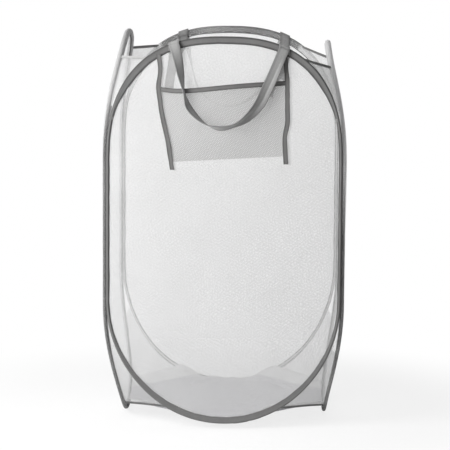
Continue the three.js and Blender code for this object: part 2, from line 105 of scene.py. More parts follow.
# Tape folded over the wire. Its reach is given at the top, along the sides and at the bottom.
TAPE_THICKNESS = 0.00045
TAPE_LEG = np.array([(1.0, 0.86, 0.68, 0.5), (0.0, -0.3, 0.7, 1.0)])
TAPE_HEAD_RADII = {"front": 0.0025, "right": 0.0030, "back": 0.0025, "left": 0.0030}
TAPE_FERRULE_HEAD = 0.0030
TAPE_FERRULE_REACH = 0.014
TAPE_FERRULE_FADES = 0.006
TAPE_TIP_HALF = 0.0011
TAPE_BULGE = 0.0004
TAPE_REACHES = {
    "front": (0.0092, 0.0030, 0.0062),
    "right": (0.0062, 0.0024, 0.0062),
    "back": (0.0092, 0.0024, 0.0030),
    "left": (0.0062, 0.0024, 0.0062),
}
TAPE_BOTTOM_SLACK = 0.0018  # of the front and back loops, which stand clear of the ground
TAPE_SLACKENS = (0.75, 1.0)
TAPE_TOP_NARROWS = (0.56, 0.84)
TAPE_BOTTOM_NARROWS = (0.45, 0.90)
TAPE_PUCKER = 0.00024
TAPE_PUCKER_SCALES = (0.009, 0.005)
TAPE_SWELL = 0.05
TAPE_SWELL_SCALE = 0.03
# Painted light: low down the tape's darker rims are drawn in by this share, so it renders paler; it
# grows between these shares of the half height below the middle
TAPE_BOTTOM_PAINTED_LIGHT = 0.7
TAPE_PAINTED_LIGHT_GROWS = (0.3, 0.9)
TAPE_EDGE_WAVER = 0.0006
TAPE_EDGE_SCALE = 0.02
LAP_LENGTH = 0.016
LAP_MIDDLE = 0.0497
LAP_LIFT = 0.0003

# Stitches
STITCH_PITCH = 0.0035
STITCH_LENGTH = 0.0022
STITCH_RADIUS = 0.00022
STITCH_LIFT = STITCH_RADIUS * 0.4
STITCH_INSET = 0.0014
STITCH_RINGS = 4
STITCH_SIDES = 6
TACK_HEIGHT = 0.175
TACK_ROWS = 7
TACK_PITCH = 0.0007
TACK_SHARES = (0.95, 0.25)

# Mesh, facing and gussets
PANEL_GRID = (170, 110)
PANEL_INSET = 0.0020
PANEL_TOP_INSET = 0.0040
PANEL_SLACK = 0.0016
NET_TURNS = {"front": 8.0, "right": 24.0, "back": 38.0, "left": 50.0}
PANEL_FADE = 0.05
FACING_REACH = {"front": -0.0004, "right": -0.0004, "back": -0.0010, "left": -0.0004}
FACING_WAVER = 0.0005
FACING_WAVER_SCALE = 0.006
FACING_LIFT = 0.00025
FACING_LEGS = np.array([1.0, 0.85, 0.66, 0.5, 0.34, 0.2])
FACING_THIN_SHARE = 0.74
FACING_THINS = 0.008
# On the sides it goes further round the fold. FACING_SIDES says how thin it is high up there,
# and the heights between which it turns from thin to that.
FACING_TURNS = {"front": (88, 60, 36), "side": (88, 52, 16, -20, -56, -92)}
FACING_SIDES = {"left": (0.05, 0.14, 0.26), "right": (0.05, -0.02, 0.22)}
FACING_LOOSE = 0.0012
FACING_LOOSENS = (-0.08, 0.10)
CREASE_ENDS = ((-0.1037, 0.2660), (-0.1335, 0.2250))
CREASE_HALF = 0.0035
CREASE_DEPTH = 0.0014
WEB_STANDOFF = 0.0034
WEB_STEP = 0.002
UPPER_GUSSET_ANGLES = (22.3, 52.3)
LOWER_GUSSET_ANGLES = (22.3, 61.7)
GUSSET_GRID = (40, 24)
GUSSET_SAG = 0.003
GUSSET_FOLD_SHARE = 0.02
GUSSET_FOLD_SCALE = 0.018
GUSSET_CUT = 1.02
HEM_REACH = 0.0026
HEM_COVER = 0.0011
HEM_HALF = 0.0011
HEM_ROUNDING = 0.0002
# The gusset hem that takes the paler copy of the hem tape: painted light
PAINTED_LIT_HEM_PLACE = "front_left_upper"

# Pocket, in the front panel's own frame but with heights above the ground. Of two heights,
# widths or centres the first is at its bottom and the second at its top.
POCKET_HEIGHTS = (0.419, 0.531)
POCKET_WIDTHS = (0.172, 0.192)
POCKET_CENTRES = (0.006, -0.004)
POCKET_SLANT = 0.010
POCKET_CUT = (1.06, 1.08)
POCKET_DEPTH = 0.012
POCKET_DEPTH_POWER = 0.7
POCKET_OFFSET = 0.0011
POCKET_FOLDS = 0.0011
POCKET_FOLDS_RISE = (0.05, 0.50)
POCKET_TURN = 15
POCKET_TOP_SAG = 0.0045
POCKET_SAG_POWER = 4
POCKET_GRID = (72, 44)
POCKET_TAPE_WIDTH = 0.0074
POCKET_TAPE_CLEAR = 0.0006
POCKET_FLAT_SHARE = (POCKET_TAPE_WIDTH / 2 + POCKET_TAPE_CLEAR) / POCKET_WIDTHS[0]
POCKET_TAPE_TAIL = 0.012
POCKET_TAPE_TOP_INSET = 0.006
POCKET_TAPE_OFFSET = 0.0023
POCKET_TAPE_ROWS = 110
POCKET_TAPE_LEAN = 0.0005
POCKET_TAPE_CUP = 0.0003
POCKET_TAPE_NARROWS = 0.18
POCKET_TAPE_STRAYS = {
    "left": (-0.0012, -0.0006, 0.0, -0.0012, -0.0021, -0.0015, -0.0004, 0.0017, -0.0012),
    "right": (0.0019, 0.0005, -0.0001, 0.0035, 0.0033, 0.0030, 0.0026, 0.0005, -0.0014),
}
BINDING_HEIGHT = 0.0052
BINDING_HALF = 0.0011
BINDING_COVER = 0.0008
BINDING_STATIONS = 90

# Handles
STRAP_WIDTH = 0.016
STRAP_THICKNESS = 0.0012
STRAP_COLUMNS = 15
TAB_COLUMNS = 11
STRAP_TAIL = 0.072
STRAP_TAIL_LEANS = {
    "front": {"left": -0.007, "right": -0.024},
    "back": {"left": -0.022, "right": -0.006},
}
HANDLE_SPAN = 0.168
HANDLE_CENTRE = 0.006
HANDLE_DROP = 0.122
HANDLE_STAND_SHARE = 0.1
HANDLE_STANDOFF = 0.0062
HANDLE_STATIONS = 130
HANDLE_ACROSS = (-1, -0.93, -0.86, -0.8, -0.7, -0.43, -0.14, 0.13, 0.36, 0.54, 0.69, 0.84, 1)
HANDLE_DROPS = (0, 0.15, 0.38, 0.58, 0.77, 0.945, 1, 0.945, 0.83, 0.69, 0.49, 0.26, 0)
HANDLE_TWISTS = {
    "front": (0, -26, -56, -84, -62, -88, -119, -104, -122, -146, -164, -175, -180),
    "back": (0, 55, 84) + 7 * (90,) + (84, 55, 0),
}
STRAP_FOLD_SHARE = 0.14
STRAP_FOLD_SLOPE = 0.9
STRAP_FOLD_STARTS = (0.50, 0.66)
STRAP_FOLD_ENDS = (0.02, 0.10)
WRAP_RADIUS = 0.00456
WRAP_DEGREES = (-65, 245)
WRAP_TAIL_OFFSET = 0.0026
WRAP_TAIL_STARTS = 0.009
WRAP_END = (-0.0075, 0.0028)
TAIL_LEAVES = 0.008
TAIL_SETTLES = 0.016
TAIL_NARROWS = 0.12
TAIL_PRESSED = 0.0012

# Floor
FLOOR_HEIGHT = 0.0175
FLOOR_SAG = 0.004
FLOOR_CORNER_RISE = 0.016
FLOOR_CELLS = 130
FLOOR_THICKNESS = 0.0008
FLOOR_CUT = 1.02
FLOOR_CORNER_INSET = 0.004
FLOOR_CRUMPLE = 0.0065
FLOOR_CRUMPLES = (0.60, 0.95)
FLOOR_CALM_SHARE = 0.25
FLOOR_FLAP = 0.034
FLOOR_PALE = FLOOR_FLAP * 0.75
FLOOR_PALE_FADES = 0.004
FLOOR_FLAP_OVER_HEM = 0.0036
FLOOR_FOLDS = (
    ((0.050, 0.150), (0.115, 0.060)),
    ((-0.060, 0.150), (-0.125, 0.105)),
    ((-0.020, 0.145), (-0.070, 0.090)),
    ((-0.140, 0.040), (-0.090, -0.020)),
)
FLOOR_FOLD_HEIGHT = 0.0050
FLOOR_FOLD_HALF = 0.0045

UV_NAME = "weave"
ACROSS_NAME = "across"


# Outline of a loop


def mix(ends, share):
    """From the first of two values to the second."""
    return ends[0] + (ends[1] - ends[0]) * share


def half_width_at(v):
    v = np.asarray(v, float)
    arch = np.where(np.expand_dims(v > 0, -1), TOP_ARCH, BOTTOM_ARCH)
    straight, power = arch[..., 0] * HALF_HEIGHT, arch[..., 1]
    share = np.clip((np.abs(v) - straight) / (HALF_HEIGHT - straight), 0, 1)
    return HALF_WIDTH * (1 - share**power) ** (1 / power)


def depth_at(v):
    """The panel leans in as its loop narrows, more and more towards the loop's ends."""
    return -BOW * (1 - (half_width_at(v) / HALF_WIDTH) ** BOW_POWER)


def slope_at(v):
    return (depth_at(v + WIRE_RADIUS / 2) - depth_at(v - WIRE_RADIUS / 2)) / WIRE_RADIUS


def depth_off(v, off):
    """How deep a place lies that stands off the panel's surface, square to it."""
    return depth_at(v) + off * np.hypot(1, slope_at(v))


def arch_point(angle, sign):
    """u and v on the right half of an arch: sign is 1 at the top and -1 at the bottom."""
    share, power = TOP_ARCH if sign > 0 else BOTTOM_ARCH
    u = HALF_WIDTH * np.sign(np.cos(angle)) * np.abs(np.cos(angle)) ** (2 / power)
    v = mix((share * HALF_HEIGHT, HALF_HEIGHT), np.abs(np.sin(angle)) ** (2 / power))
    return u, sign * v


def arch_height_at(u):
    """Height of the wire's line over the top arch at a place across the panel."""
    share, power = TOP_ARCH
    rise = (1 - np.abs(np.asarray(u) / HALF_WIDTH) ** power) ** (1 / power)
    return mix((share * HALF_HEIGHT, HALF_HEIGHT), rise)


def unit(vectors):
    return vectors / np.maximum(np.linalg.norm(vectors, axis=-1, keepdims=True), 1e-12)


def way(grid, axis):
    """Distance along the rows or columns of a grid of points, as a weave's coordinate."""
    steps = np.linalg.norm(np.diff(grid, axis=axis), axis=-1)
    zero = np.zeros_like(np.take(steps, [0], axis=axis))
    return np.concatenate([zero, np.cumsum(steps, axis=axis)], axis=axis)


class LoopPath:
    """Even stations round a loop's wire, with the way along it, out of it and off its face."""

    def __init__(self):
        angles = np.linspace(0, math.pi, ARCH_SAMPLES)
        top, bottom = np.stack(arch_point(angles, 1), 1), np.stack(arch_point(angles[::-1], -1), 1)
        outline = np.vstack([top, bottom, top[:1]])
        lengths = way(outline, 0)
        self.length = lengths[-1]
        self.ways = np.arange(LOOP_STATIONS) * self.length / LOOP_STATIONS
        u, v = (np.interp(self.ways, lengths, outline[:, k]) for k in (0, 1))
        self.points = np.stack([u, depth_at(v), v], 1)
        self.along = unit(np.roll(self.points, -1, 0) - np.roll(self.points, 1, 0))
        normal = np.stack([np.zeros_like(v), np.ones_like(v), -slope_at(v)], 1)
        normal -= (normal * self.along).sum(1, keepdims=True) * self.along
        self.normal = unit(normal)
        self.outward = np.cross(self.normal, self.along)

    def offset(self, r, h):
        """Points r out and h off the face, for each station: r and h are (stations, count)."""
        out, off = (a[:, None] * b[..., None] for a, b in ((self.outward, r), (self.normal, h)))
        return self.points[:, None] + out + off


def to_hamper(side, points):
    """From a side's own frame, u, d and v, to the hamper's."""
    turn = SIDE_TURNS[side]
    u, d, v = points[..., 0], points[..., 1], points[..., 2]
    v = np.where(v > 0, v * (1 + EXTRA_HEIGHT[side] / HALF_HEIGHT), v)
    x, y, z = u, -PANEL_REACH - d, v + MIDDLE_HEIGHT[side]
    cos, sin = math.cos(turn), math.sin(turn)
    return np.stack([x * cos - y * sin, x * sin + y * cos, z], -1)


def wobbles(a, b, seed, scale):
    """Smooth noise from -1 to 1 over two coordinates in metres."""
    a, b = np.broadcast_arrays(np.asarray(a, float) / scale, np.asarray(b, float) / scale)
    flat = [noise.noise(Vector((x, y, seed * 7.31))) for x, y in zip(a.ravel(), b.ravel())]
    return np.array(flat).reshape(a.shape)


def ease(x, low, high):
    t = np.clip((x - low) / (high - low), 0, 1)
    return t * t * (3 - 2 * t)


def fold_line(a, b, ends, half):
    """A straight fold in cloth: 1 along the line between two places, 0 half away from it."""
    (a0, b0), (a1, b1) = ends
    length = math.hypot(a1 - a0, b1 - b0)
    along = ((a - a0) * (a1 - a0) + (b - b0) * (b1 - b0)) / length**2
    aside = ((a - a0) * (b1 - b0) - (b - b0) * (a1 - a0)) / length
    tips = ease(along, 0, 0.3) * ease(1 - along, 0, 0.3)
    return tips * np.maximum(1 - np.abs(aside) / half, 0)


wire_low, wire_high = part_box("front_wire")
HALF_WIDTH = (wire_high.x - wire_low.x) / 2 - WIRE_RADIUS * math.cos(math.pi / 6)
HALF_HEIGHT = (wire_high.z - wire_low.z) / 2 - WIRE_RADIUS * math.cos(math.pi / 6)
PANEL_REACH = -wire_low.y - WIRE_RADIUS
BOW = wire_high.y - wire_low.y - 2 * WIRE_RADIUS
front_middle = (wire_low.z + wire_high.z) / 2
MIDDLE_HEIGHT = {
    side: front_middle - (SIDE_DROP if side in FACING_SIDES else 0) for side in SIDE_NAMES
}
LOOP = LoopPath()


# Meshes


def add_object(name, data):
    thing = bpy.data.objects.new(name, data)
    bpy.context.scene.collection.objects.link(thing)
    return thing


def new_piece(name, points, faces, material, uvs, across=None):
    mesh = bpy.data.meshes.new(name)
    mesh.from_pydata([tuple(p) for p in np.asarray(points, float)], [], faces)
    corners = np.zeros(len(mesh.loops), int)
    mesh.loops.foreach_get("vertex_index", corners)
    layers = {UV_NAME: uvs}
    if across is not None:
        layers[ACROSS_NAME] = np.stack([across, across], -1)
    for layer, values in layers.items():
        values = np.asarray(values, float)[corners].astype(np.float32)
        mesh.uv_layers.new(name=layer).data.foreach_set("uv", values.ravel())
    mesh.polygons.foreach_set("use_smooth", [True] * len(mesh.polygons))
    mesh.materials.append(material)
    mesh.update()
    return add_object(name, mesh)


def grid_faces(rows, columns, start=0):
    cells = (start + i * columns + j for i in range(rows - 1) for j in range(columns - 1))
    return [(a, a + 1, a + columns + 1, a + columns) for a in cells]


def weave_of(grid):
    return np.stack([way(grid, 1), way(grid, 0)], -1)


def turned(uv, degrees):
    """A weave's coordinates turned, so that two layers of mesh don't lie hole on hole."""
    cos, sin = math.cos(math.radians(degrees)), math.sin(math.radians(degrees))
    a, b = uv[..., 0], uv[..., 1]
    return np.stack([a * cos - b * sin, a * sin + b * cos], -1)


def thin_sheet(name, grid, material, uv=None, across=None):
    """One layer of cloth over a grid of points."""
    uv = weave_of(grid) if uv is None else uv
    faces = grid_faces(*grid.shape[:2])
    return new_piece(name, grid.reshape(-1, 3), faces, material, uv.reshape(-1, 2), across)


def thick_sheet(name, grid, thickness, material, across=None):
    """Cloth or webbing with both faces and its cut edges."""
    rows, columns = grid.shape[:2]
    normals = unit(np.cross(np.gradient(grid, axis=1), np.gradient(grid, axis=0)))
    points = np.concatenate([grid + normals * thickness / 2, grid - normals * thickness / 2])
    count = rows * columns
    faces = grid_faces(rows, columns) + [face[::-1] for face in grid_faces(rows, columns, count)]
    index = np.arange(count).reshape(rows, columns)
    rim = [*index[0], *index[1:, -1], *index[-1, -2::-1], *index[-2:0:-1, 0]]
    for here, after in zip(rim, rim[1:] + rim[:1]):
        faces.append((after, here, here + count, after + count))
    uv = weave_of(grid).reshape(-1, 2)
    across = np.tile(np.linspace(0, 1, columns), rows) if across is None else across.ravel()
    uvs, across = np.concatenate([uv, uv]), np.tile(across, 2)
    return new_piece(name, points.reshape(-1, 3), faces, material, uvs, across)


def tube_faces(stations, count, closed):
    """Faces between sections of points: a closed ring, or a run with flat ends."""
    faces = []
    for i in range(stations if closed else stations - 1):
        a, b = i * count, (i + 1) % stations * count
        ring = [(j, (j + 1) % count) for j in range(count)]
        faces += [(a + j, a + k, b + k, b + j) for j, k in ring]
    if not closed:
        end = (stations - 1) * count
        faces += [tuple(range(count - 1, -1, -1)), tuple(range(end, end + count))]
    return faces


def tube(name, sections, material, closed, along=None, across=None):
    """Sections of points joined in turn."""
    stations, count = sections.shape[:2]
    along = way(sections, 0) if along is None else np.repeat(along[:, None], count, 1)
    uvs = np.stack([way(sections, 1), along], -1).reshape(-1, 2)
    across = np.full(stations * count, 0.5) if across is None else across.ravel()
    faces = tube_faces(stations, count, closed)
    return new_piece(name, sections.reshape(-1, 3), faces, material, uvs, across)


def fold_section(reach, half, head, cover, bulge=0.0):
    """A tape folded in two: points r, h round its outside and back along its inside. The fold
    has radius head and lies cover beyond the origin; the legs end at -reach, half apart."""

    def arc(radius, start, count):
        turn = np.radians(np.linspace(start, -start, count))
        return np.stack([cover + radius * np.cos(turn), radius * np.sin(turn)], 1)

    leg = np.stack([-reach * TAPE_LEG[0], half + bulge * TAPE_LEG[1]], 1)
    under = leg - (0, TAPE_THICKNESS)
    outside = [leg, arc(head, 128, 17), leg[::-1] * (1, -1)]
    inside = [under * (1, -1), arc(head - TAPE_THICKNESS, -122, 11), under[::-1]]
    return np.concatenate(outside + inside)


def tape_across(section, reach, head):
    """0 at the tape's stitched edge and 1 at its fold, for each point of a section."""
    return np.clip((section[..., 0] + reach) / (reach + head), 0, 1)


def area_of(piece):
    return sum(face.area for face in piece.data.polygons)


def settle(piece, body, stands_for=None):
    """Hides the CAD node that a piece stands for, if given, and puts the piece on the body it rides
    on.
    """
    if stands_for:
        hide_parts(stands_for)
    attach(piece, body)


def declare(piece, flat, area, held, rests_on, **others):
    """A sheet's area is no more than that of the rectangle it is cut from."""
    area = min(area, flat[0] * flat[1])


def folded_over(edge, up, section):
    """Sections of a tape folded over an edge of cloth. Up is the way out of the cloth."""
    normal = unit(np.cross(unit(np.gradient(edge, axis=0)), up))
    return edge[:, None] + up[:, None] * section[:, :1] + normal[:, None] * section[:, 1:]


# Materials


class Nodes:
    """The node tree of a material or world, with short names for the nodes that cloth needs."""

    def __init__(self, owner):
        owner.use_nodes = True
        self.owner = owner
        self.tree = owner.node_tree
        self.tree.nodes.clear()

    def add(self, kind, inputs=None, **settings):
        """A new node's outputs. Its inputs are values or other nodes' outputs."""
        node = self.tree.nodes.new(kind)
        for name, value in settings.items():
            setattr(node, name, value)
        for name, value in (inputs or {}).items():
            if isinstance(value, bpy.types.NodeSocket):
                self.tree.links.new(value, node.inputs[name])
            else:
                node.inputs[name].default_value = value
        return node.outputs

    def math(self, operation, a, b=0.0, c=0.0):
        return self.add("ShaderNodeMath", {0: a, 1: b, 2: c}, operation=operation)[0]

    def weave(self, layer=UV_NAME):
        """The piece's own cloth coordinates in metres, across and along."""
        uv = self.add("ShaderNodeUVMap", uv_map=layer)[0]
        return self.add("ShaderNodeSeparateXYZ", {0: uv})[:2]

    def across(self):
        """From 0 to 1 across a tape."""
        return self.weave(ACROSS_NAME)[0]

    def place(self):
        return self.add("ShaderNodeTexCoord")["Object"]

    def noise(self, vector, scale, detail=2.0):
        inputs = {"Vector": vector, "Scale": scale, "Detail": detail, "Roughness": 0.5}
        return self.add("ShaderNodeTexNoise", inputs)["Fac"]

    def sine(self, coordinate, pitch):
        """A sine from 0 to 1 along a coordinate in metres."""
        curve = self.math("SINE", self.math("MULTIPLY", coordinate, 2 * math.pi / pitch))
        return self.math("MULTIPLY_ADD", curve, 0.5, 0.5)

    def remap(self, value, low, high, to_low, to_high, smooth=False):
        names = ("Value", "From Min", "From Max", "To Min", "To Max")
        inputs = dict(zip(names, (value, low, high, to_low, to_high)))
        kind = "SMOOTHSTEP" if smooth else "LINEAR"
        return self.add("ShaderNodeMapRange", inputs, interpolation_type=kind)["Result"]

    def mixed(self, share, first, second):
        """One shader laid over another by a share."""
        return self.add("ShaderNodeMixShader", {0: share, 1: first, 2: second})[0]

    def blend(self, share, low, high):
        return self.add("ShaderNodeMix", {"Factor": share, 6: low, 7: high}, data_type="RGBA")[2]

    def scaled(self, colour, share):
        """A colour made darker or lighter by a share that varies."""
        inputs = {0: colour, "Scale": share}
        return self.add("ShaderNodeVectorMath", inputs, operation="SCALE")[0]

    def bump(self, height, distance, strength):
        inputs = {"Height": height, "Distance": distance, "Strength": strength}
        return self.add("ShaderNodeBump", inputs)["Normal"]

    def finish(self, shader, kind="Material"):
        self.add("ShaderNodeOutput" + kind, {"Surface": shader})
        return self.owner


def grey(value, warm=0.0):
    """A near grey, as linear light. warm above zero leans to yellow, below to blue."""
    return (value * (1 + warm), value, value * (1 - warm * 1.6), 1.0)


def dimmed(colour, share):
    return tuple(c * share for c in colour[:3]) + (1.0,)


def woven_material(
    name, colour, pitch, light_through=0.0, wear_and_painted_light=0.12, ribs=0.35, selvedge_and_painted_shade=0.0, other_colour=None
):
    """Plain woven tape or cloth: crossing yarns, uneven dye and slightly rubbed high spots.
    selvedge_and_painted_shade says how much darker a tape is along its edges than in its middle:
    partly a darker selvedge, partly painted shade, and its lighter middle is a painted highlight.
    Where the across value is 1 the cloth has its other colour."""
    nodes = Nodes(bpy.data.materials.new(name))
    across, along = nodes.weave()
    either = nodes.math("MAXIMUM", nodes.sine(across, pitch), nodes.sine(along, pitch))
    over = nodes.math("MULTIPLY", nodes.sine(across, 2 * pitch), nodes.sine(along, 2 * pitch))
    yarn = nodes.math("MULTIPLY", either, nodes.remap(over, 0, 1, 0.6, 1))
    place = nodes.place()
    dye = nodes.math("MULTIPLY", nodes.noise(place, 38.0, 3.0), 1 - ribs)
    speck = nodes.noise(place, 900.0)
    shade = nodes.math("MULTIPLY_ADD", yarn, ribs, dye)
    ends = (dimmed(colour, 1 + wear_and_painted_light * sign) for sign in (-1.6, 1.6))
    body = nodes.blend(nodes.remap(shade, 0.2, 0.8, 0, 1), *ends)
    tone = nodes.blend(nodes.remap(speck, 0.35, 0.7, 0, 0.35), body, dimmed(colour, 1.55))
    if selvedge_and_painted_shade:
        # Painted shade along both edges, partly a darker selvedge, and a painted highlight along
        # the middle
        edge = nodes.math("ABSOLUTE", nodes.math("MULTIPLY_ADD", nodes.across(), 2, -1.0))
        rim_selvedge_and_shade = nodes.remap(edge, 0.35, 0.8, 1 + selvedge_and_painted_shade / 2, 1 - selvedge_and_painted_shade, smooth=True)
        tone = nodes.scaled(tone, rim_selvedge_and_shade)
    if other_colour:
        tone = nodes.blend(nodes.across(), tone, other_colour)
    normal = nodes.bump(nodes.math("MULTIPLY_ADD", speck, 0.4, yarn), pitch * 0.22, 0.6)
    inputs = {
        "Base Color": tone,
        "Roughness": nodes.remap(speck, 0.3, 0.7, 0.72, 0.95),
        "Sheen Weight": 0.25,
        "Sheen Roughness": 0.5,
        "Specular IOR Level": 0.3,
        "Normal": normal,
    }
    shader = nodes.add("ShaderNodeBsdfPrincipled", inputs)[0]
    if light_through:
        glow = nodes.add("ShaderNodeBsdfTranslucent", {"Color": tone, "Normal": normal})
        shader = nodes.mixed(light_through, shader, glow[0])
    return nodes.finish(shader)


def net_material(
    name, colour, pitch, open_share, light_through=0.45, stray=0.25, thin_share=None
):
    """Knitted mesh: round holes on a close packed lattice, with a fuzzy rim to each yarn. Where
    the across value is 1 the open share becomes thin_share."""
    nodes = Nodes(bpy.data.materials.new(name))
    across, along = nodes.weave()
    place = nodes.place()
    tall = math.sqrt(3)

    def strayed(coordinate, scale):
        off = nodes.math("SUBTRACT", nodes.noise(place, scale, 1.0), 0.5)
        return nodes.math("MULTIPLY_ADD", off, 4 * stray * pitch, coordinate)

    def to_middle(coordinate, step, shift):
        part = nodes.math("FRACT", nodes.math("MULTIPLY_ADD", coordinate, 1 / step, shift))
        return nodes.math("SUBTRACT", part, 0.5)

    across, along = strayed(across, 170.0), strayed(along, 143.0)

    def to_nearest(shift):
        dx = to_middle(across, pitch, shift)
        dy = nodes.math("MULTIPLY", to_middle(along, pitch * tall, shift), tall)
        square = nodes.math("MULTIPLY_ADD", dx, dx, nodes.math("MULTIPLY", dy, dy))
        return nodes.math("SQRT", square)

    away = nodes.math("MINIMUM", to_nearest(0.0), to_nearest(0.5))
    stretch = nodes.remap(nodes.noise(place, 22.0), 0.3, 0.7, 0.94, 1.06)
    shares = (open_share, thin_share or open_share)
    hole, thin = (math.sqrt(share * tall / (2 * math.pi)) for share in shares)
    radius = nodes.math("MULTIPLY", stretch, nodes.remap(nodes.across(), 0, 1, hole, thin))
    edge = nodes.math("SUBTRACT", away, radius)
    solid = nodes.remap(edge, -0.03, 0.03, 0, 1, smooth=True)
    yarn = nodes.remap(edge, 0.0, 0.16, 0, 1, smooth=True)
    tint = nodes.remap(nodes.noise(place, 9.0, 3.0), 0.3, 0.7, 0, 1)
    tone = nodes.blend(tint, dimmed(colour, 0.96), dimmed(colour, 1.04))
    tone = nodes.blend(yarn, dimmed(colour, 0.92), tone)
    normal = nodes.bump(yarn, pitch * 0.2, 0.5)
    inputs = {"Base Color": tone, "Roughness": 0.8, "Sheen Weight": 0.2, "Normal": normal}
    cloth = nodes.add("ShaderNodeBsdfPrincipled", inputs)[0]
    glow = nodes.add("ShaderNodeBsdfTranslucent", {"Color": tone})[0]
    clear = nodes.add("ShaderNodeBsdfTransparent")[0]
    return nodes.finish(nodes.mixed(solid, clear, nodes.mixed(light_through, cloth, glow)))


def metal_material(name, value, rough):
    nodes = Nodes(bpy.data.materials.new(name))
    drawn = nodes.noise(nodes.place(), 260.0, 4.0)
    inputs = {
        "Base Color": nodes.blend(drawn, grey(value * 0.85), grey(value * 1.05)),
        "Metallic": 1.0,
        "Roughness": nodes.remap(drawn, 0.3, 0.7, rough * 0.8, rough * 1.3),
    }
    return nodes.finish(nodes.add("ShaderNodeBsdfPrincipled", inputs)[0])


def seen_share(nodes):
    """1 for what the camera sees, also by a reflection or through glass, and 0 for light."""
    rays = nodes.add("ShaderNodeLightPath")
    seen = nodes.math("MAXIMUM", rays["Is Camera Ray"], rays["Is Glossy Ray"])
    return nodes.math("MAXIMUM", seen, rays["Is Transmission Ray"])


def studio_floor_material():
    """Pale for the object's light. To the camera it turns from its lit colour, which holds
    the object's shadow, to the backdrop's white."""
    nodes = Nodes(bpy.data.materials.new("studio_floor"))
    seen = seen_share(nodes)
    colour = nodes.blend(seen, grey(FLOOR_COLOUR), grey(FLOOR_SEEN_COLOUR))
    lit = nodes.add("ShaderNodeBsdfDiffuse", {"Color": colour})[0]
    away = nodes.add("ShaderNodeVectorMath", {0: nodes.place()}, operation="LENGTH")
    whitened = nodes.remap(away["Value"], *FLOOR_WHITENS, FLOOR_WHITE_SHARE, 1, smooth=True)
    white = nodes.add("ShaderNodeEmission")[0]
    return nodes.finish(nodes.mixed(nodes.math("MULTIPLY", seen, whitened), lit, white))


TAPE = woven_material("casing_tape", grey(0.135, 0.006), 0.0007, light_through=0.1, selvedge_and_painted_shade=0.5)
HEM = woven_material("hem_tape", grey(0.16, 0.006), 0.0006, light_through=0.1)
# A paler copy of the hem tape: painted light
PAINTED_LIT_HEM = woven_material("painted_lit_hem_tape", grey(0.50, 0.004), 0.0006, light_through=0.3)
POCKET_TAPE = woven_material("pocket_tape", grey(0.125, 0.01), 0.0007, selvedge_and_painted_shade=0.26)
THREAD = woven_material("thread", grey(0.15, 0.006), 0.0003)
TACK_THREAD = woven_material("tack_thread", grey(0.5, 0.01), 0.0003)
NET = net_material("mesh_fabric", grey(0.89), 0.0014, 0.42)
# A darker copy of the mesh for the side panels and the gussets: painted shade
SHADED_NET = net_material("shaded_mesh_fabric", grey(0.74), 0.0014, 0.36)
# The facing in two copies of the mesh's colour: a paler one, painted light against the shade inside
# the tape, and a darker one for the left side, painted shade
FACING, SHADED_LEFT_FACING = (
    net_material(name, grey(pale), 0.0015, 0.03, 0.3, thin_share=FACING_THIN_SHARE)
    for name, pale in (("mesh_facing", 0.95), ("shaded_left_mesh_facing", 0.62))
)
POCKET_NET = net_material("pocket_mesh", grey(0.58, 0.004), 0.0027, 0.41, stray=0.05)
FLOOR_GREY = (0.620, 0.615, 0.637, 1.0)
FLOOR_CLOTH = woven_material(
    "floor_cloth", FLOOR_GREY, 0.0008, light_through=0.25, wear_and_painted_light=0.03, other_colour=grey(0.9)
)
# The back webbing is a darker copy of the front's: painted shade on the rear handle
WEBBINGS = {
    side: woven_material(f"{side}_webbing", grey(value, 0.004), 0.0011, 0.05, ribs=0.5, selvedge_and_painted_shade=0.18)
    for side, value in (("front", 0.30), ("back", 0.21))
}


# Pieces of a loop


def tape_reach(side, v):
    """How far in from the wire the tape's legs reach."""
    share = np.abs(v) / HALF_HEIGHT
    top, middle, bottom = TAPE_REACHES[side]
    above = mix((middle, top), ease(share, *TAPE_TOP_NARROWS))
    return np.where(v > 0, above, mix((middle, bottom), ease(share, *TAPE_BOTTOM_NARROWS)))


def tape_head(side):
    """Radius of the tape's fold at each station: larger where it goes over the ferrule."""
    middle = sum(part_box(f"{side}_wire_ferrule"), Vector()) / 2
    away = np.linalg.norm(to_hamper(side, LOOP.points) - np.array(middle), axis=1)
    over = ease(TAPE_FERRULE_REACH - away, 0, TAPE_FERRULE_FADES)
    return mix((TAPE_HEAD_RADII[side], TAPE_FERRULE_HEAD), over)


def ring_noise(seed, scale):
    """Noise that closes on itself round a loop."""
    turn = 2 * math.pi * LOOP.ways / LOOP.length
    radius = LOOP.length / (2 * math.pi)
    return wobbles(radius * np.cos(turn), radius * np.sin(turn), seed, scale)


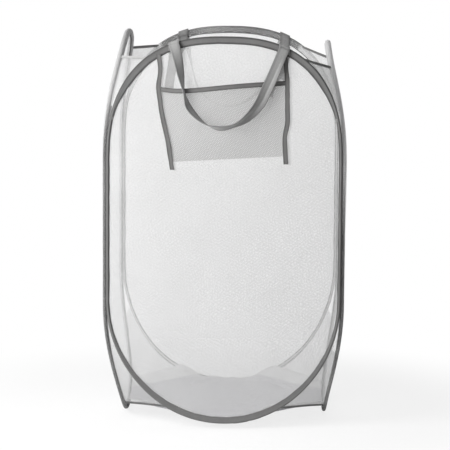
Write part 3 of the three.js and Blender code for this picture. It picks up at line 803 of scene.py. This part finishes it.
def casing(side, seed):
    """Tape folded over the wire, puckered by its seam and a little uneven at its edge. Its end laps
    over its start near the bottom, where it is painted paler over more of its width: painted light."""
    u, v = LOOP.points[:, 0], LOOP.points[:, 2]
    reach = tape_reach(side, v) + TAPE_EDGE_WAVER * ring_noise(seed, TAPE_EDGE_SCALE)
    head = tape_head(side)
    slack = 0.0 if side in FACING_SIDES else TAPE_BOTTOM_SLACK
    slack = slack * ease(-v / HALF_HEIGHT, *TAPE_SLACKENS)
    pucker = TAPE_PUCKER * sum(
        ring_noise(seed + 1 + i, scale) for i, scale in enumerate(TAPE_PUCKER_SCALES)
    )
    lapped = (v < 0) & (np.abs(u - LAP_MIDDLE) < LAP_LENGTH / 2)
    sections = np.array([
        fold_section(r + p, TAPE_TIP_HALF + p, size + p, over, TAPE_BULGE)
        for r, p, size, over in zip(reach, np.where(lapped, LAP_LIFT, 0.0), head, slack)
    ])
    swell = 1 + TAPE_SWELL * ring_noise(seed + 3, TAPE_SWELL_SCALE)
    legs = sections[..., 0] < 0
    heights = sections[..., 1] * swell[:, None] + np.where(legs, pucker[:, None], 0)
    points = LOOP.offset(sections[..., 0], heights)
    across = tape_across(sections, reach[:, None], (head + slack)[:, None])
    # Painted light: low down the across value is drawn to the middle, which shrinks the darker rims
    # and paints the tape paler
    wear_and_painted_light = TAPE_BOTTOM_PAINTED_LIGHT * ease(-v / HALF_HEIGHT, *TAPE_PAINTED_LIGHT_GROWS)
    across = 0.5 + (across - 0.5) * (1 - wear_and_painted_light)[:, None]
    piece = tube(f"{side}_tape", to_hamper(side, points), TAPE, True, LOOP.ways, across)
    settle(piece, side, f"{side}_casing")
    return reach, pucker


def stitch_row(name, starts, ends, normals, material):
    """Short threads from start to end, each a slim lens."""
    cross = np.cross(normals, unit(ends - starts))[:, None]
    t = np.linspace(0, 1, STITCH_RINGS)
    radii = STITCH_RADIUS * (0.35 + 0.65 * np.sin(math.pi * np.clip(t, 0.12, 0.88)))
    turns = 2 * math.pi * np.arange(STITCH_SIDES)[:, None] / STITCH_SIDES
    spokes = np.cos(turns) * cross + np.sin(turns) * normals[:, None]
    centres = starts[:, None] + (ends - starts)[:, None] * t[:, None]
    points = centres[:, :, None] + radii[:, None, None] * spokes[:, None]
    points = points.reshape(-1, 3)
    one = tube_faces(STITCH_RINGS, STITCH_SIDES, False)
    bases = range(0, len(points), STITCH_RINGS * STITCH_SIDES)
    faces = [tuple(base + corner for corner in face) for base in bases for face in one]
    return new_piece(name, points, faces, material, points[:, :2])


def round_loop(values, places):
    """Values of a loop's stations read at any distance along it."""
    columns = [np.interp(places, LOOP.ways, column, period=LOOP.length) for column in values.T]
    return np.stack(columns, 1)


def sew(name, side, seams, material):
    """Stitches on a casing. A seam holds where its stitches start and end and the way that
    they face, in the side's own frame."""
    starts, ends, normals = (to_hamper(side, np.vstack(part)) for part in zip(*seams))
    normals = unit(normals - to_hamper(side, np.zeros(3)))
    settle(stitch_row(name, starts, ends, normals, material), side)


def casing_stitches(side, reach, pucker):
    """One row of stitches near the tape's edge outside, and one on the facing inside."""
    count = int(LOOP.length / STITCH_PITCH)
    places = np.arange(count) * LOOP.length / count
    seams = []
    for face, lift in ((1, STITCH_LIFT), (-1, FACING_LIFT + STITCH_LIFT)):
        height = face * (TAPE_TIP_HALF + lift) + pucker[:, None]
        line = LOOP.offset(-(reach - STITCH_INSET)[:, None], height)[:, 0]
        ends = round_loop(line, places + STITCH_LENGTH)
        seams.append((round_loop(line, places), ends, unit(round_loop(LOOP.normal * face, places))))
    sew(f"{side}_tape_stitches", side, seams, THREAD)


def casing_tacks(reach):
    """Bar tacks across the front casing, where its wide tape becomes narrow."""
    u, height = LOOP.points[:, 0], LOOP.points[:, 2]
    seams = []
    for on_right in (False, True):
        nearest = np.argmin(np.abs(height - TACK_HEIGHT) + ((u > 0) != on_right))
        where = LOOP.ways[nearest] + TACK_PITCH * (np.arange(TACK_ROWS) - TACK_ROWS / 2)
        here, out, off = (round_loop(a, where) for a in (LOOP.points, LOOP.outward, LOOP.normal))
        lift = TAPE_TIP_HALF + TAPE_BULGE + STITCH_RADIUS
        start, end = (here - out * reach[nearest] * share for share in TACK_SHARES)
        seams.append((start + off * lift, end + off * (lift + TAPE_BULGE), off))
    sew("front_tape_tacks", "front", seams, TACK_THREAD)


def front_relief(u, v):
    """How far the front panel stands off its plain surface: small, and nil at its edges. A
    sharp fold runs below its left shoulder."""
    broad = wobbles(u, v, 3, 0.13) + 0.5 * wobbles(u, v, 4, 0.055)
    return PANEL_SLACK * broad - CREASE_DEPTH * fold_line(u, v, CREASE_ENDS, CREASE_HALF)


def panel_relief(side, u, v):
    if side == "front":
        return front_relief(u, v)
    seed = 10 + SIDE_NAMES.index(side) * 5
    broad = wobbles(u, v, seed, 0.16) + 0.6 * wobbles(u, v, seed + 1, 0.07)
    drape = 0.5 * wobbles(u + 0.4 * v, 0.25 * v, seed + 2, 0.03)
    return 2 * PANEL_SLACK * (broad + drape)


def edge_fade(u, v):
    """1 in the middle of a panel and 0 at its edge."""
    side, end = half_width_at(v) - np.abs(u), HALF_HEIGHT - np.abs(v)
    return ease(np.minimum(side / PANEL_FADE, end / PANEL_FADE), 0.1, 1)


def mesh_panel(side):
    """The mesh in a loop, with its rows and columns closer together towards its edge, which
    is hidden inside the tape."""
    edge = LOOP.points - PANEL_INSET * LOOP.outward
    edge = edge[edge[:, 0] > 0]
    edge = edge[np.argsort(edge[:, 2])]
    rows, columns = (np.sin(np.linspace(-math.pi / 2, math.pi / 2, count)) for count in PANEL_GRID)
    rows = (HALF_HEIGHT - PANEL_TOP_INSET) * rows
    half_widths = np.interp(rows, edge[:, 2], edge[:, 0])
    u = columns * half_widths[:, None]
    v = np.broadcast_to(rows[:, None], u.shape)
    depth = depth_at(v) + panel_relief(side, u, v) * edge_fade(u, v)
    grid = to_hamper(side, np.stack([u, depth, v], -1))
    uv = turned(np.stack([u, v], -1), NET_TURNS[side])
    # The side panels take the darker copy of the mesh, painted shade
    piece = thin_sheet(f"{side}_mesh", grid, SHADED_NET if side in FACING_SIDES else NET, uv)
    flat, area = (2 * HALF_WIDTH, 2 * HALF_HEIGHT), 2 * np.trapz(half_widths, rows)
    tape = [f"{side}_tape"]
    declare(piece, flat, area, "stretched", tape, with_pieces=tape)
    settle(piece, side, f"{side}_mesh_panel")


def facing(side, reach, pucker):
    """The mesh turned over the inside of the tape, so that the tape hardly shows inside. Over
    the front's and back's top arches it is thin. On the sides it goes loosely round the tape,
    and is thin low down."""
    u, v = LOOP.points[:, 0], LOOP.points[:, 2]
    gusset_end = arch_point(math.radians(UPPER_GUSSET_ANGLES[1]), 1)[0]
    thin = np.where(v > 0, ease(gusset_end - np.abs(u), 0, FACING_THINS), 0)
    angles, loose = np.radians(FACING_TURNS["front"]), 0.0
    if side in FACING_SIDES:
        least, low, high = FACING_SIDES[side]
        thin = 1 - (1 - least) * ease(v, low, high)
        angles = np.radians(FACING_TURNS["side"])
        loose = FACING_LOOSE * ease(v, *FACING_LOOSENS)
    waver = ring_noise(91 + SIDE_NAMES.index(side), FACING_WAVER_SCALE)
    width = reach + FACING_REACH[side] + FACING_WAVER * waver
    lift = (tape_head(side) + FACING_LIFT + loose)[:, None]
    r = np.concatenate([-width[:, None] * FACING_LEGS, lift * np.cos(angles)], 1)
    rise = ease(1 - FACING_LEGS, 0.3, 0.8)
    legs = TAPE_TIP_HALF + FACING_LIFT + TAPE_BULGE * 0.5 + (lift - TAPE_TIP_HALF) * rise
    h = -np.concatenate([legs, lift * np.sin(angles)], 1)
    h[:, : len(FACING_LEGS)] += pucker[:, None]
    points = to_hamper(side, LOOP.offset(r, h))
    points = np.concatenate([points, points[:1]])
    columns = points.shape[1]
    around = np.tile(way(points[:-1], 1)[0], (len(points), 1))
    along = np.repeat(np.append(LOOP.ways, LOOP.length)[:, None], columns, 1)
    across = np.repeat(np.append(thin, thin[0]), columns)
    # The left side takes the darker facing, painted shade; the others take the paler one, painted
    # light
    material = SHADED_LEFT_FACING if side == "left" else FACING
    piece = thin_sheet(f"{side}_facing", points, material, np.stack([around, along], -1), across)
    flat = (float(way(points, 1).max()), float(way(points, 0).max()))
    declare(piece, flat, area_of(piece), "stretched", [f"{side}_tape"])
    settle(piece, side)


# Gussets


def web_edge(side, angle, sign, hand):
    """The point and the way along on a side's arch, in the hamper's frame."""
    points = []
    for a in (angle - WEB_STEP, angle, angle + WEB_STEP):
        u, v = arch_point(a, sign)
        points.append(to_hamper(side, np.array([hand * u, float(depth_at(v)), v])))
    return points[1], unit(points[2] - points[0])


def gusset_grid(index, side, after, angles, sign):
    shares = np.linspace(0, 1, GUSSET_GRID[1])
    rows = []
    for angle in np.radians(np.linspace(*angles, GUSSET_GRID[0])):
        start, start_way = web_edge(side, angle, sign, 1)
        end, end_way = web_edge(after, angle, sign, -1)
        ends = []
        for here, there, tangent in ((start, end, start_way), (end, start, end_way)):
            towards = there - here
            towards = unit(towards - towards.dot(tangent) * tangent)
            ends.append(here + towards * WEB_STANDOFF)
        a, b = ends
        inward = unit(np.array([-a[0] - b[0], -a[1] - b[1], 0.0]))
        reach, swell = np.linalg.norm(b - a), np.sin(shares * math.pi)
        sag = GUSSET_SAG * reach / HALF_WIDTH * swell
        folds = wobbles(shares * 0.06, angle * 0.05, index + sign, GUSSET_FOLD_SCALE)
        folds = GUSSET_FOLD_SHARE * reach * folds * swell
        rows.append(mix((a, b), shares[:, None]) + inward * (sag + folds)[:, None])
    return np.array(rows)


def join_corner(piece, corner):
    """Cloth across a corner has its place baked into its mesh. The back right corner is the open
    pivot of the linkage, so what is there stays with the back, on a mesh of its own."""
    if corner == "back_right":
        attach(piece, "back")
        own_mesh(piece)
    else:
        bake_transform(piece)


def gussets():
    """Webs across the corners, each with a narrow tape folded over its free edge."""
    levels = (("upper", UPPER_GUSSET_ANGLES, 1), ("lower", LOWER_GUSSET_ANGLES, -1))
    section = fold_section(HEM_REACH, HEM_HALF, HEM_HALF + HEM_ROUNDING, HEM_COVER)
    for index, (corner, (side, after)) in enumerate(CORNERS.items()):
        for level, angles, sign in levels:
            name = f"{corner}_{level}"
            grid = gusset_grid(index, side, after, angles, sign)
            # The webs take the darker copy of the mesh, painted shade
            web = thin_sheet(f"{name}_web", grid, SHADED_NET)
            sections = folded_over(grid[-1], unit(grid[-1] - grid[-2]), section)
            # One hem takes the paler copy of the hem tape, painted light
            material = PAINTED_LIT_HEM if name == PAINTED_LIT_HEM_PLACE else HEM
            hem = tube(f"{name}_binding", sections, material, False)
            flat = (float(way(grid, 1)[-1, -1]), float(way(grid, 0)[-1].max()) * GUSSET_CUT)
            declare(web, flat, area_of(web), "stretched", [f"{side}_tape"])
            for piece, slot, node in ((web, "mesh_fabric", "gusset"), (hem, "hem_tape", "hem")):
                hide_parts(f"{name}_{node}")
                join_corner(piece, corner)


# Things sewn on the front panel


def ground(height):
    """A height above the ground in the front panel's own frame."""
    return height - MIDDLE_HEIGHT["front"]


def front_face(u, v, off):
    """Points off the front panel's surface, square to it."""
    depth = depth_off(v, off) + front_relief(u, v) * edge_fade(u, v)
    return np.stack(np.broadcast_arrays(u, depth, v), -1)


def pocket_place(share, rise):
    """u and v on the pocket, share across it from its left tape and rise up it."""
    level = mix(POCKET_HEIGHTS, rise) + POCKET_SLANT * share
    return mix(POCKET_CENTRES, rise) + (share - 0.5) * mix(POCKET_WIDTHS, rise), ground(level)


def pocket_sag(share, rise):
    """The pocket's top sags most nearer its left side."""
    lowest = 1 / (POCKET_SAG_POWER + 1)
    deepest = lowest * (1 - lowest) ** POCKET_SAG_POWER
    sag = POCKET_TOP_SAG * share * (1 - share) ** POCKET_SAG_POWER / deepest
    return sag * np.maximum(rise, 0) ** 2


def pocket_points(share, rise):
    u, v = pocket_place(share, rise)
    v = v - pocket_sag(share, rise)
    opening = np.clip((share - POCKET_FLAT_SHARE) / (1 - 2 * POCKET_FLAT_SHARE), 0, 1)
    swell = np.sin(opening * math.pi)
    billow = swell * POCKET_DEPTH * np.maximum(rise, 0) ** POCKET_DEPTH_POWER
    folds = POCKET_FOLDS * wobbles(u, v, 41, 0.03) * swell * ease(rise, *POCKET_FOLDS_RISE)
    return front_face(u, v, POCKET_OFFSET + billow + folds)


def pocket():
    share, rise = np.meshgrid(*(np.linspace(0, 1, count) for count in POCKET_GRID))
    grid = to_hamper("front", pocket_points(share, rise))
    uv = turned(np.stack(pocket_place(share, rise), -1), POCKET_TURN)
    net = thin_sheet("pocket_net", grid, POCKET_NET, uv)
    bottom, top = POCKET_HEIGHTS
    flat = (POCKET_WIDTHS[1] * POCKET_CUT[0], (top - bottom) * POCKET_CUT[1])
    declare(net, flat, area_of(net), "hung", ["front_mesh"], with_pieces=["pocket_binding"])
    settle(net, "front", "front_pocket")


def pocket_binding():
    shares = np.linspace(POCKET_FLAT_SHARE * 0.7, 1, BINDING_STATIONS)
    top = pocket_points(shares, np.ones_like(shares))
    up = unit(top - pocket_points(shares, np.full_like(shares, 0.96)))
    head = BINDING_HALF + HEM_ROUNDING
    section = fold_section(BINDING_HEIGHT, BINDING_HALF, head, BINDING_COVER)
    points = to_hamper("front", folded_over(top, up, section))
    across = np.tile(tape_across(section, BINDING_HEIGHT, head + BINDING_COVER), (len(shares), 1))
    piece = tube("pocket_binding", points, POCKET_TAPE, False, across=across)
    settle(piece, "front", "pocket_top_binding")


def pocket_tape(hand):
    """A flat tape from the casing down over the pocket's side, not quite straight."""
    share, seed = (0.0, 51) if hand == "left" else (1.0, 52)
    bottom, high = (ground(level + POCKET_SLANT * share) for level in POCKET_HEIGHTS)
    top = float(arch_height_at(pocket_place(share, 1.0)[0])) - POCKET_TAPE_TOP_INSET
    heights = np.linspace(bottom - POCKET_TAPE_TAIL, top, POCKET_TAPE_ROWS)
    rises = np.clip((heights - bottom) / (high - bottom), -0.2, 1)
    strays = np.array(POCKET_TAPE_STRAYS[hand])[:, None]
    stray = catmull(strays, np.linspace(0, 1, len(heights)))
    lean = POCKET_TAPE_LEAN * wobbles(heights, 0.4, seed, 0.02)
    columns = np.linspace(-0.5, 0.5, 9) * POCKET_TAPE_WIDTH
    narrow = 1 - POCKET_TAPE_NARROWS * np.abs(wobbles(heights, 0.0, seed + 2, 0.02))
    u = pocket_place(share, rises)[0][:, None] + stray + columns * narrow[:, None]
    v = np.broadcast_to(heights[:, None], u.shape)
    cup = POCKET_TAPE_CUP * (columns / columns.max()) ** 2
    grid = to_hamper("front", front_face(u, v, POCKET_TAPE_OFFSET + lean[:, None] + cup))
    piece = thick_sheet(f"pocket_{hand}_edge", grid, TAPE_THICKNESS, POCKET_TAPE)
    settle(piece, "front", f"pocket_{hand}_tape")


# Handles


def catmull(points, t):
    """A smooth curve through points, at t from 0 to 1 over them all."""
    points = np.asarray(points, float)
    run = np.vstack([2 * points[0] - points[1], points, 2 * points[-1] - points[-2]])
    where = np.clip(t * (len(points) - 1), 0, len(points) - 1 - 1e-9)
    i = np.floor(where).astype(int)
    f = (where - i)[:, None]
    before, a, b, after = (run[i + step] for step in range(4))
    return 0.5 * (
        2 * a
        + (b - before) * f
        + (2 * before - 5 * a + 4 * b - after) * f**2
        + (3 * a - before - 3 * b + after) * f**3
    )


def webbing(name, side, grid, mirror, body, stands_for):
    """A strap over a grid in a side's own frame, or over the grid's mirror image."""
    grid = grid * (mirror, 1, 1)
    grid = to_hamper(side, grid[:, ::-1] if mirror < 0 else grid)
    piece = thick_sheet(name, grid, STRAP_THICKNESS, WEBBINGS[side])
    settle(piece, body, stands_for)


def handle(side, name, mirror):
    """A strap hung between two tabs, twisted on its way. Its second half is creased along its
    length."""
    across, drop = np.array(HANDLE_ACROSS), np.array(HANDLE_DROPS) * HANDLE_DROP
    u = HANDLE_CENTRE + across * HANDLE_SPAN / 2
    v = mix(arch_height_at(u[[0, -1]]), (across + 1) / 2) - drop
    depth = depth_off(v, HANDLE_STANDOFF + HANDLE_STAND_SHARE * drop)
    t = np.linspace(0, 1, HANDLE_STATIONS)
    line = catmull(np.stack([u, depth, v], 1), t)
    twist = np.radians(catmull(np.array(HANDLE_TWISTS[side])[:, None], t))
    along = unit(np.gradient(line, axis=0))
    outward = np.array([0.0, 1.0, 0.0])
    wide = unit(np.cross(along, outward)) * np.cos(twist) + outward * np.sin(twist)
    thick = unit(np.cross(wide, along))
    thick *= -1 if thick[-1, 1] < 0 else 1
    across = np.linspace(-0.5, 0.5, STRAP_COLUMNS)
    fold = np.maximum(across - STRAP_FOLD_SHARE, 0) * STRAP_FOLD_SLOPE
    grown = ease(t, *STRAP_FOLD_STARTS) * ease(1 - t, *STRAP_FOLD_ENDS)
    grid = line[:, None] + wide[:, None] * (across * STRAP_WIDTH)[None, :, None]
    grid = grid + thick[:, None] * (fold[None, :] * grown[:, None] * STRAP_WIDTH)[..., None]
    webbing(f"{name}_strap", side, grid, mirror, name, name)


def handle_tab(side, name, hand, mirror):
    """Webbing from inside the panel, up over the casing and a little way down outside it. Like
    the panel there, it leans in towards its top."""
    centre = HANDLE_CENTRE + (HANDLE_SPAN / 2 if hand == "right" else -HANDLE_SPAN / 2)
    turn = np.radians(np.linspace(*WRAP_DEGREES, 22))
    path = [(-x, -WRAP_TAIL_OFFSET) for x in np.linspace(STRAP_TAIL, WRAP_TAIL_STARTS, 30)]
    path += [(WRAP_RADIUS * math.sin(a), -WRAP_RADIUS * math.cos(a)) for a in turn]
    path.append(WRAP_END)
    slope = float(slope_at(arch_height_at(centre)))
    up_panel, off_panel = unit(np.array([(0.0, slope, 1.0), (0.0, 1.0, -slope)]))
    columns = np.linspace(-0.5, 0.5, TAB_COLUMNS) * STRAP_WIDTH
    rows = []
    for up, out in path:
        fall = float(ease(-up, TAIL_LEAVES, STRAP_TAIL))
        u = centre + columns * (1 - TAIL_NARROWS * fall)
        top = arch_height_at(u)
        here = np.stack([u, depth_at(top), top], -1) + up * up_panel + out * off_panel
        on_face = float(ease(-up, WRAP_TAIL_STARTS, TAIL_SETTLES))
        pressed = depth_off(here[:, 2], out - TAIL_PRESSED * fall)
        here[:, 1] = mix((here[:, 1], pressed), on_face)
        here[:, 0] += STRAP_TAIL_LEANS[side][hand] * fall
        rows.append(here)
    webbing(f"{name}_webbing", side, np.array(rows), mirror, side, name)


# Floor


def floor_cloth():
    """A loose floor, crumpled along its edges. Its cut corners are pale and stand up over the
    gussets' hems."""
    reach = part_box("floor_panel")[1].x
    corner = arch_point(math.radians(LOWER_GUSSET_ANGLES[1]), -1)[0] - FLOOR_CORNER_INSET
    t = np.linspace(-1, 1, FLOOR_CELLS)
    across, rows = np.meshgrid(t, t)
    share = corner / reach
    cut = np.maximum(np.abs(rows) - share, 0) / (1 - share)
    x, y = across * mix((reach, corner), cut), rows * reach
    sag = FLOOR_SAG * (1 - (x / reach) ** 2) * (1 - rows**2)
    rise = FLOOR_CORNER_RISE * (x / reach * rows) ** 2
    edge = ease(np.maximum(np.abs(x), np.abs(y)) / reach, *FLOOR_CRUMPLES)
    crumple = FLOOR_CRUMPLE * (FLOOR_CALM_SHARE + (1 - FLOOR_CALM_SHARE) * edge)
    creases = crumple * (np.abs(wobbles(x, y, 61, 0.04)) + 0.35 * wobbles(x, y, 62, 0.016))
    folds = sum(fold_line(x, y, ends, FLOOR_FOLD_HALF) for ends in FLOOR_FOLDS)
    z = FLOOR_HEIGHT - sag + rise + creases + FLOOR_FOLD_HEIGHT * folds
    to_cut = (corner + reach - np.abs(x) - np.abs(y)) / math.sqrt(2)
    toward_front = np.clip(0.5 + (np.abs(y) - np.abs(x)) / (reach - corner) / 2, 0, 1)
    hem_end = web_edge("left", math.radians(LOWER_GUSSET_ANGLES[1]), -1, 1)[0][2]
    hem_line = hem_end + SIDE_DROP * toward_front
    flap = ease(FLOOR_FLAP - to_cut, 0, FLOOR_FLAP)
    z = z + (hem_line + FLOOR_FLAP_OVER_HEM - z) * flap
    pale = ease(FLOOR_PALE - to_cut, 0, FLOOR_PALE_FADES)
    grid = np.stack([x, y, z], -1)
    piece = thick_sheet("floor_cloth", grid, FLOOR_THICKNESS, FLOOR_CLOTH, pale)
    flat = (2 * reach * FLOOR_CUT, 2 * reach * FLOOR_CUT)
    declare(piece, flat, area_of(piece) / 2, "hung", ["front_tape", "back_tape"])
    settle(piece, "floor", "floor_panel")
    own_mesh(piece)


# Stage


def stage():
    corners = np.array([(-1, -1, 0), (1, -1, 0), (1, 1, 0), (-1, 1, 0)]) * STUDIO_REACH
    material = studio_floor_material()
    new_piece("studio_floor", corners, [(0, 1, 2, 3)], material, corners[:, :2])

    bpy.context.scene.world = bpy.data.worlds.new("studio")
    nodes = Nodes(bpy.context.scene.world)
    strength = nodes.remap(seen_share(nodes), 0, 1, WORLD_LIGHT, 1.0)
    inputs = {"Color": grey(1.0), "Strength": strength}
    nodes.finish(nodes.add("ShaderNodeBackground", inputs)[0], "World")

    for name, (place, width, watts) in LAMPS.items():
        lamp = bpy.data.lights.new(name, "AREA")
        lamp.shape, lamp.size, lamp.energy = "SQUARE", width, watts
        thing = add_object(name, lamp)
        thing.location = place
        aim = Vector(LAMPS_AIM) - thing.location
        thing.rotation_euler = aim.to_track_quat("-Z", "Y").to_euler()


def camera():
    data = bpy.data.cameras.new("camera")
    data.sensor_fit = "HORIZONTAL"
    data.sensor_width = CAMERA_SENSOR_MM
    data.lens = CAMERA_LENS_MM
    data.clip_end = CAMERA_SEES_TO
    thing = add_object("camera", data)
    level = math.cos(CAMERA_PITCH)
    across, ahead = math.sin(CAMERA_YAW) * level, math.cos(CAMERA_YAW) * level
    ahead = Vector((across, ahead, math.sin(CAMERA_PITCH)))
    right = ahead.cross(Vector((0, 0, 1))).normalized()
    up = right.cross(ahead)
    cos, sin = math.cos(CAMERA_ROLL), math.sin(CAMERA_ROLL)
    columns = (cos * right + sin * up, cos * up - sin * right, -ahead)
    thing.matrix_world = Matrix(columns).transposed().to_4x4()
    thing.location = CAMERA_PLACE
    bpy.context.scene.camera = thing
    bpy.context.scene.view_settings.view_transform = "Standard"


def main():
    camera()
    stage()
    metals = (
        ("wire", metal_material("spring_wire", 0.5, 0.35)),
        ("wire_ferrule", metal_material("ferrule_steel", 0.6, 0.3)),
    )
    for i, side in enumerate(SIDE_NAMES):
        for node, material in metals:
            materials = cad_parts[f"{side}_{node}"].data.materials
            materials.clear()
            materials.append(material)
        reach, pucker = casing(side, 100 + 10 * i)
        casing_stitches(side, reach, pucker)
        if side == "front":
            casing_tacks(reach)
        mesh_panel(side)
        facing(side, reach, pucker)
    gussets()
    pocket_binding()
    pocket()
    for hand in ("left", "right"):
        pocket_tape(hand)
    for side, name, mirror in (("front", "front_handle", 1), ("back", "rear_handle", -1)):
        handle(side, name, mirror)
        for hand in ("left", "right"):
            handle_tab(side, f"{name}_{hand}_tab", hand, mirror)
    floor_cloth()


main()
